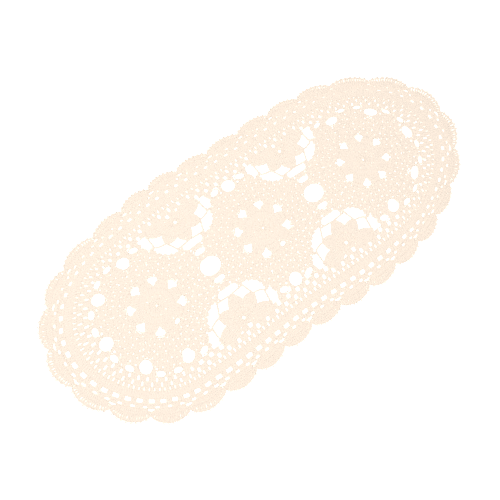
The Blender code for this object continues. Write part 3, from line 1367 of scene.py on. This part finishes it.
@dataclass(frozen=True)
class BorderRound:
    """One round of the border: groups of uprights between two chains."""

    name: str
    low: float
    high: float
    groups: int
    phase: float
    stitches: int
    spacing: float  # between a group's uprights
    room: float  # that each upright fills
    stitch: Stitch = Stitch.LOW
    least_closed: float = 0.27  # of a gap, taken up by the stitches beside it
    snug_closed: float = 0.35  # of a gap, more where the net is snug
    chain_width: float = 1.1  # of the chain on the round, as a share of the usual
    snug_width: float = 0.45  # more where the net is snug
    tuck: float = 0.0003  # that a stitch's end stays inside the line it is worked to
    oval: Oval = Oval()

    def work(self, hook: Hook) -> None:
        """Works the round.

        Args:
            hook: what works the stitches.
        """
        whole = self.oval.lengths()[2]
        turn = (np.arange(self.groups) + self.phase) / self.groups
        across = (np.arange(self.stitches) - (self.stitches - 1) / 2) * self.spacing / whole
        scale = (self.low + self.high) / 2
        centres = self.oval.points(turn, scale)
        stretch = np.where(np.abs(centres[:, 0]) > PITCH, self.oval.even_reach / scale, 1.0)
        grown = np.ones(self.groups)
        if self.stitches > 1:
            group = (self.stitches - 1) * self.spacing + 1.1 * self.room
            gap = whole / self.groups / stretch - group
            closed = self.least_closed + self.snug_closed * hook.hand.snugness(centres)
            grown += gap * closed / group
        place = (turn[:, None] + across * (stretch * grown)[:, None]).ravel()
        room = np.repeat(self.room * grown, self.stitches)
        reaches = (self.low + self.tuck, self.high - self.tuck)
        marks = np.stack([self.oval.points(place, reach) for reach in reaches], 1)
        hook.posts(marks, self.stitch, (room, room), cut=False)
        line = self.oval.points(np.linspace(0, 1, 1440, endpoint=False), self.high)
        width = self.chain_width + self.snug_width * hook.hand.snugness(line)
        hook.chain(line, 0.0026, closed=True, width=width, cut=False)


@dataclass(frozen=True)
class Fans:
    """Part of the scalloped edge: fans of tall uprights with picots, and arcs under the notches."""

    numbers: range
    count: int = 30
    phase: float = 0.67 / 3  # of a fan, to the first notch
    foot_reach: float = 0.0899
    notch_reach: float = 0.0974
    tip_reach: float = 0.1031
    roundness: float = 0.75
    uprights: int = 16
    side_clear: float = 0.025  # that the uprights keep from a fan's sides, as a share of it
    foot_share: float = 0.78  # of a fan's width that its uprights stand on
    middle_height: float = 0.52  # where they bend
    fullness: Pair = (1.08, 1.14)  # of their feet and heads, as shares of their room
    rim_drop: float = 0.0016  # from the picots' tips to the rim
    picots: int = 8
    picot_clear: float = 0.04  # that the picots keep from a fan's sides
    arc_height: float = 0.0026  # of the chain arc under a notch
    arc_half: float = 0.14  # of the arc's width
    arc_posts: float = 0.055  # from one upright on it to the next
    tuck: float = 0.0004  # that a stitch's foot stays inside the line it is worked to
    oval: Oval = Oval()

    def outline(self, across: np.ndarray) -> np.ndarray:
        """The reach of the solid's edge at shares of the way across a fan."""
        rise = np.abs(np.sin(np.pi * across)) ** self.roundness
        return self.notch_reach + (self.tip_reach - self.notch_reach) * rise

    def work(self, hook: Hook) -> None:
        """Works the fans and the arcs at their starts.

        Args:
            hook: what works the stitches.
        """
        for fan in self.numbers:
            start = (fan + self.phase) / self.count
            self._fan(hook, start)
            self._notch(hook, start)

    def _points(self, start: float, across: Amount, reach: Amount) -> np.ndarray:
        """Finds points of a fan.

        Args:
            start: the share of the way round at which the fan starts.
            across: shares of the way across it.
            reach: distances from the spine.

        Returns:
            The points, as (..., 2).
        """
        return self.oval.points(start + across / self.count, reach)

    def _fan(self, hook: Hook, start: float) -> None:
        """Works one fan: uprights, the rim on their heads and its picots.

        Args:
            hook: what works the stitches.
            start: the share of the way round at which the fan starts.
        """
        across = (np.arange(self.uprights) + 0.5) / self.uprights
        across = self.side_clear + (1 - 2 * self.side_clear) * across
        foot_across = 0.5 + (across - 0.5) * self.foot_share
        mid_across = 0.5 + (across - 0.5) * (0.35 * self.foot_share + 0.65)
        rim = self.outline(across) - self.rim_drop
        half = self.foot_reach + self.middle_height * (rim - self.foot_reach)
        foot = self._points(start, foot_across, self.foot_reach + self.tuck)
        mid = self._points(start, mid_across, half)
        head = self._points(start, across, rim - 0.0003)
        span = self.oval.lengths()[2] / self.count / self.uprights
        room = (self.fullness[0] * self.foot_share * span, self.fullness[1] * span)
        hook.posts(np.stack([foot, mid, head], 1), Stitch.FAN, room, cut=False)
        way = np.linspace(0.02, 0.98, 60)
        hook.chain(self._points(start, way, self.outline(way) - self.rim_drop), 0.0024, cut=False)
        place = (np.arange(self.picots) + 0.5) / self.picots
        place = self.picot_clear + (1 - 2 * self.picot_clear) * place
        feet = self._points(start, place, self.outline(place) - self.rim_drop - 0.0002)
        hook.picots(feet, self._points(start, place, self.outline(place) - 0.0001))

    def _notch(self, hook: Hook, start: float) -> None:
        """Works the chain arc under a notch and the uprights from it to the notch.

        Args:
            hook: what works the stitches.
            start: the share of the way round at which the notch lies.
        """
        way = np.linspace(-self.arc_half, self.arc_half, 13)
        arc = self.foot_reach + self.arc_height * (1 - (way / self.arc_half) ** 2)
        hook.chain(self._points(start, way, arc), 0.0024, width=1.2, cut=False)
        across = np.array((-self.arc_posts, 0.0, self.arc_posts))
        foot = self._points(start, across, self.foot_reach + self.arc_height + self.tuck)
        head = self._points(start, across, self.notch_reach - 0.0009)
        hook.posts(np.stack([foot, head], 1), Stitch.LOW, (0.0020, 0.0020), cut=False)


class Socket:
    """A shader socket that can be used in Python expressions."""

    def __init__(self, shader: "Shader", output: bpy.types.NodeSocket) -> None:
        """Wraps one output socket of a shader's tree."""
        self.shader = shader
        self.output = output

    def _math(self, operation: str, *values: object) -> "Socket":
        """Adds a Math node and returns its result."""
        return self.shader.node("ShaderNodeMath", {"operation": operation}, *values)

    def __add__(self, other: object) -> "Socket":
        """Self plus other."""
        return self._math("ADD", self, other)

    def __radd__(self, other: object) -> "Socket":
        """Other plus self."""
        return self._math("ADD", other, self)

    def __mul__(self, other: object) -> "Socket":
        """Self times other."""
        return self._math("MULTIPLY", self, other)

    def __rmul__(self, other: object) -> "Socket":
        """Other times self."""
        return self._math("MULTIPLY", other, self)

    def sine(self) -> "Socket":
        """The sine of self."""
        return self._math("SINE", self)


class Shader:
    """Builds one material's nodes round its Principled BSDF."""

    def __init__(self, name: str) -> None:
        """Makes a material with a bare shader.

        Args:
            name: the material's name.
        """
        self.material = bpy.data.materials.new(name)
        self.material.use_nodes = True
        self.tree = self.material.node_tree
        self.surface = self.tree.nodes["Principled BSDF"]

    def node(
        self,
        kind: str,
        settings: dict[str, object],
        *values: object,
        out: str | int = 0,
        **named: object,
    ) -> Socket:
        """Adds a node, sets it and fills its sockets.

        Args:
            kind: the node's type.
            settings: its properties, such as a Math node's operation, or "stops" for a ramp.
            values: the values or links of its sockets in order; None leaves one as it is.
            out: the output to return, by name or by number.
            named: the values or links of further sockets by name.

        Returns:
            The wrapped output.
        """
        made = self.tree.nodes.new(kind)
        for name, value in settings.items():
            if name == "stops":
                self._stops(made, value)
            else:
                setattr(made, name, value)
        for socket, value in zip([s for s in made.inputs if s.enabled], values):
            self.fill(socket, value)
        for name, value in named.items():
            self.fill(made.inputs[name], value)
        outputs = made.outputs if isinstance(out, str) else [s for s in made.outputs if s.enabled]
        return Socket(self, outputs[out])

    @staticmethod
    def _stops(ramp: bpy.types.Node, stops: list[tuple[float, tuple[float, ...]]]) -> None:
        """Sets a ramp's stops.

        Args:
            ramp: the node.
            stops: the place and colour of each stop.
        """
        elements = ramp.color_ramp.elements
        while len(elements) < len(stops):
            elements.new(0.5)
        for element, (place, color) in zip(elements, stops):
            element.position = place
            element.color = color

    def fill(self, socket: bpy.types.NodeSocket, value: object) -> None:
        """Links a wrapped output to a socket, or sets a plain value on it.

        Args:
            socket: the socket to fill.
            value: the output or the value; None leaves the socket as it is.
        """
        if isinstance(value, Socket):
            self.tree.links.new(value.output, socket)
        elif value is not None:
            socket.default_value = value

    def set(self, **values: object) -> None:
        """Fills sockets of the Principled BSDF, with _ for the spaces in their names."""
        for name, value in values.items():
            self.fill(self.surface.inputs[name.replace("_", " ")], value)


@dataclass(frozen=True)
class CrochetCotton:
    """Cream mercerised cotton: three plies twisted together, with a soft tone and fine fibres."""

    pale: tuple[float, float, float, float] = (0.981, 0.860, 0.746, 1.0)
    deep: tuple[float, float, float, float] = (0.972, 0.838, 0.712, 1.0)
    # Each noise: its scale, detail and roughness.
    broad: tuple[float, float, float] = (28.0, 2.0, 0.5)
    patch: tuple[float, float, float] = (240.0, 2.0, 0.6)
    fibre: tuple[float, float, float] = (5200.0, 2.0, 0.7)
    shares: tuple[float, float, float] = (0.5, 0.35, 0.3)  # of the three in the tone
    plies: int = 3
    ply_pitch: float = 0.0011
    relief: Pair = (0.35, 0.00012)  # strength and depth
    roughness: float = 0.78
    fibre_roughness: float = 0.16
    sheen: Pair = (0.45, 0.5)  # weight and roughness
    shine: float = 0.35

    def material(self, name: str, has_plies: bool) -> bpy.types.Material:
        """Builds the finish.

        Args:
            name: the material's name.
            has_plies: whether the plies show as ridges that wind round the strand.

        Returns:
            The material.
        """
        shader = Shader(name)
        place = shader.node("ShaderNodeTexCoord", {}, out="Object")
        broad, patch, fibre = (
            shader.node("ShaderNodeTexNoise", {}, place, None, *noise)
            for noise in (self.broad, self.patch, self.fibre)
        )
        tone = broad * self.shares[0] + patch * self.shares[1] + fibre * self.shares[2]
        ramp = {"stops": [(0.38, self.deep), (0.72, self.pale)]}
        relief = fibre * 0.5
        if has_plies:
            strand = shader.node("ShaderNodeUVMap", {"uv_map": "strand"})
            along, around = (
                shader.node("ShaderNodeSeparateXYZ", {}, strand, out=axis) for axis in ("X", "Y")
            )
            wind = along * (FULL_TURN / self.ply_pitch) + around * (FULL_TURN * self.plies)
            relief = relief + wind.sine() * 0.5
        strength, depth = self.relief
        bump = shader.node(
            "ShaderNodeBump", {}, Strength=strength, Distance=depth, Height=relief
        )
        shader.set(
            Base_Color=shader.node("ShaderNodeValToRGB", ramp, tone),
            Roughness=self.roughness + fibre * self.fibre_roughness,
            Normal=bump,
            Sheen_Weight=self.sheen[0],
            Sheen_Roughness=self.sheen[1],
            Specular_IOR_Level=self.shine,
        )
        return shader.material


@dataclass(frozen=True)
class PaleTable:
    """The plain table top that the doily lies on, with a painted glow that brightens the shade under
    the cloth.
    """

    size: float = 4.0
    pale: tuple[float, float, float, float] = (0.93, 0.93, 0.93, 1.0)
    white: tuple[float, float, float, float] = (1.0, 1.0, 1.0, 1.0)
    painted_glow: float = 0.95  # painted light: the top glows so that the shaded gaps under the cloth show white
    grain: tuple[float, float, float] = (60.0, 3.0, 0.5)  # scale, detail and roughness
    roughness: float = 0.55
    grain_roughness: float = 0.15

    def build(self) -> bpy.types.Object:
        """Makes the table top.

        Returns:
            The table top.
        """
        mesh = bpy.data.meshes.new("table_top")
        half = self.size / 2
        corners = [(-half, -half, 0), (half, -half, 0), (half, half, 0), (-half, half, 0)]
        mesh.from_pydata(corners, [], [(0, 1, 2, 3)])
        shader = Shader("pale_paint")
        place = shader.node("ShaderNodeTexCoord", {}, out="Object")
        grain = shader.node("ShaderNodeTexNoise", {}, place, None, *self.grain)
        # The emission is painted light: it whitens the table where the cloth shades it.
        shader.set(
            Base_Color=self.pale,
            Roughness=self.roughness + grain * self.grain_roughness,
            Emission_Color=self.white,
            Emission_Strength=self.painted_glow,
        )
        mesh.materials.append(shader.material)
        table = linked("table_top", mesh)
        return table


@dataclass(frozen=True)
class Studio:
    """The camera where the photo was taken from, and soft light from above."""

    camera_place: tuple[float, float, float] = (-0.06427, -0.02509, 0.40176)
    camera_turn: tuple[float, float, float, float] = (0.950286, 0.042884, -0.046937, -0.304819)
    lens: float = 30.23
    nearest: float = 0.01  # that the camera sees
    sky: float = 0.30
    lamp_power: float = 18.5
    lamp_size: float = 0.8
    lamp_place: tuple[float, float, float] = (-0.14, 0.11, 1.50)

    def build(self) -> None:
        """Makes the camera, the lamp and the pale surround."""
        scene = bpy.context.scene
        lens = bpy.data.cameras.new("camera")
        lens.lens = self.lens
        lens.sensor_width = 36.0
        lens.clip_start = self.nearest
        light = bpy.data.lights.new("soft_lamp", "AREA")
        light.energy = self.lamp_power
        light.size = self.lamp_size
        aim = (-Vector(self.lamp_place)).to_track_quat("-Z", "Y")
        scene.camera = self._placed("camera", lens, self.camera_place, self.camera_turn)
        self._placed("soft_lamp", light, self.lamp_place, aim)
        world = bpy.data.worlds.new("surround")
        world.use_nodes = True
        surround = world.node_tree.nodes["Background"]
        surround.inputs["Color"].default_value = (1.0, 1.0, 1.0, 1.0)
        surround.inputs["Strength"].default_value = self.sky
        scene.world = world
        scene.view_settings.view_transform = "Standard"

    @staticmethod
    def _placed(
        name: str, data: bpy.types.ID, place: tuple[float, ...], turn: tuple[float, ...]
    ) -> bpy.types.Object:
        """Places a camera or a lamp.

        Args:
            name: the object's name.
            data: the camera or the lamp.
            place: where it is.
            turn: its rotation, as a quaternion.

        Returns:
            The new object.
        """
        made = linked(name, data)
        made.location = place
        made.rotation_mode = "QUATERNION"
        made.rotation_quaternion = turn
        return made


@dataclass(frozen=True)
class Doily:
    """The whole doily, made of its motifs, flowers, ties, border and fans."""

    hand: Handwork = Handwork()
    cotton_area: float = 0.0727
    flat_size: Pair = (0.2138, 0.4629)

    def motifs(self) -> tuple[RoundMotif, ...]:
        """Plans the three round motifs.

        Returns:
            The motifs from left to right.
        """
        end, slant, flank = 0.0487, 0.0470, 0.0456  # reaches of the notches facing the border
        flower, joint, side = 0.0497, 0.0512, 0.0490  # and of the others
        right = (end, slant, flank, flower, joint, flower, flank, slant)
        right_tips = (0.0605, 0.0605, 0.0600, 0.0615, 0.0615, 0.0600, 0.0605, 0.0605)
        left = tuple(right[(4 - k) % 8] for k in range(8))
        left_tips = tuple(right_tips[(3 - k) % 8] for k in range(8))
        inner = (joint, flower, side, flower) * 2
        inner_tips = (0.0615, 0.0600, 0.0600, 0.0615) * 2
        return (
            RoundMotif(-PITCH, left, left_tips),
            RoundMotif(0.0, inner, inner_tips),
            RoundMotif(PITCH, right, right_tips),
        )

    def rounds(self) -> tuple[BorderRound, ...]:
        """Plans the border's rounds.

        Returns:
            The rounds from the inside out: reaches, groups and phase, stitches and their room.
        """
        band = Stitch.BAND
        half_shut = {"least_closed": 0.50}
        wide_chain = {"chain_width": 1.2, "snug_width": 1.3}
        low_gaps = {"least_closed": 0.05, "snug_closed": 0.50, "chain_width": 1.3, "snug_width": 1.3}
        return (
            BorderRound("first_net", BASE_REACH, 0.0664, 90, 0.67, 3, 0.0021, 0.0022),
            BorderRound("second_net", 0.0664, 0.0711, 90, 0.17, 3, 0.0025, 0.0026),
            BorderRound("small_net", 0.0711, 0.0750, 180, 0.34, 2, 0.0018, 0.0019, **half_shut),
            BorderRound("band", 0.0750, 0.0816, 410, 0.0, 1, 0.0024, 0.0026, band, **wide_chain),
            BorderRound("eyelets", 0.0816, 0.0857, 90, 0.17, 3, 0.0018, 0.0022, **low_gaps),
            BorderRound("low_round", 0.0857, 0.0874, 410, 0.0, 1, 0.0024, 0.0027, band),
            BorderRound("slits", 0.0874, 0.0899, 90, 0.67, 2, 0.0018, 0.0026, least_closed=0.52),
        )

    def works(self) -> list[tuple[str, list[Work]]]:
        """Plans the pieces.

        Returns:
            The name of each piece and what is worked for it, in the order of the work.
        """
        motifs = self.motifs()
        made = [(f"{side}_motif", [m]) for side, m in zip(("left", "middle", "right"), motifs)]
        made.append(("flowers", [Flower(x, y) for x in (-1, 1) for y in (-1, 1)]))
        made.append(("ties", [Ties(motifs)]))
        made += [(band.name, [band]) for band in self.rounds()]
        made += [("lower_fans", [Fans(range(15))]), ("upper_fans", [Fans(range(15, 30))])]
        return made

    def build(self) -> list[bpy.types.Object]:
        """Works every piece.

        Returns:
            The pieces, the sheet of stitch bodies first.
        """
        cotton = CrochetCotton()
        strand = cotton.material("cotton_strand", True)
        yarn = cotton.material("cotton_body", False)
        hook = Hook(self.hand, Strands(), Layout().openings())
        made = []
        for name, parts in self.works():
            for part in parts:
                part.work(hook)
            made.append(hook.finish(name, strand))
        body = hook.bodies.piece("stitch_bodies", yarn)
        log.info("stitch_bodies: %d triangles", hook.bodies.triangles())
        total = hook.bodies.triangles() + sum(2 * len(o.data.polygons) for o in made)
        log.info("in all: %d triangles", total)
        return [body, *made]


def main() -> None:
    """Builds the doily and its setting."""
    doily = Doily()
    pieces = doily.build()
    for piece in pieces:
        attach(piece, BODY)
    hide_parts(SOLID)
    table = PaleTable().build()
    Studio().build()


if __name__ == "__main__":
    main()
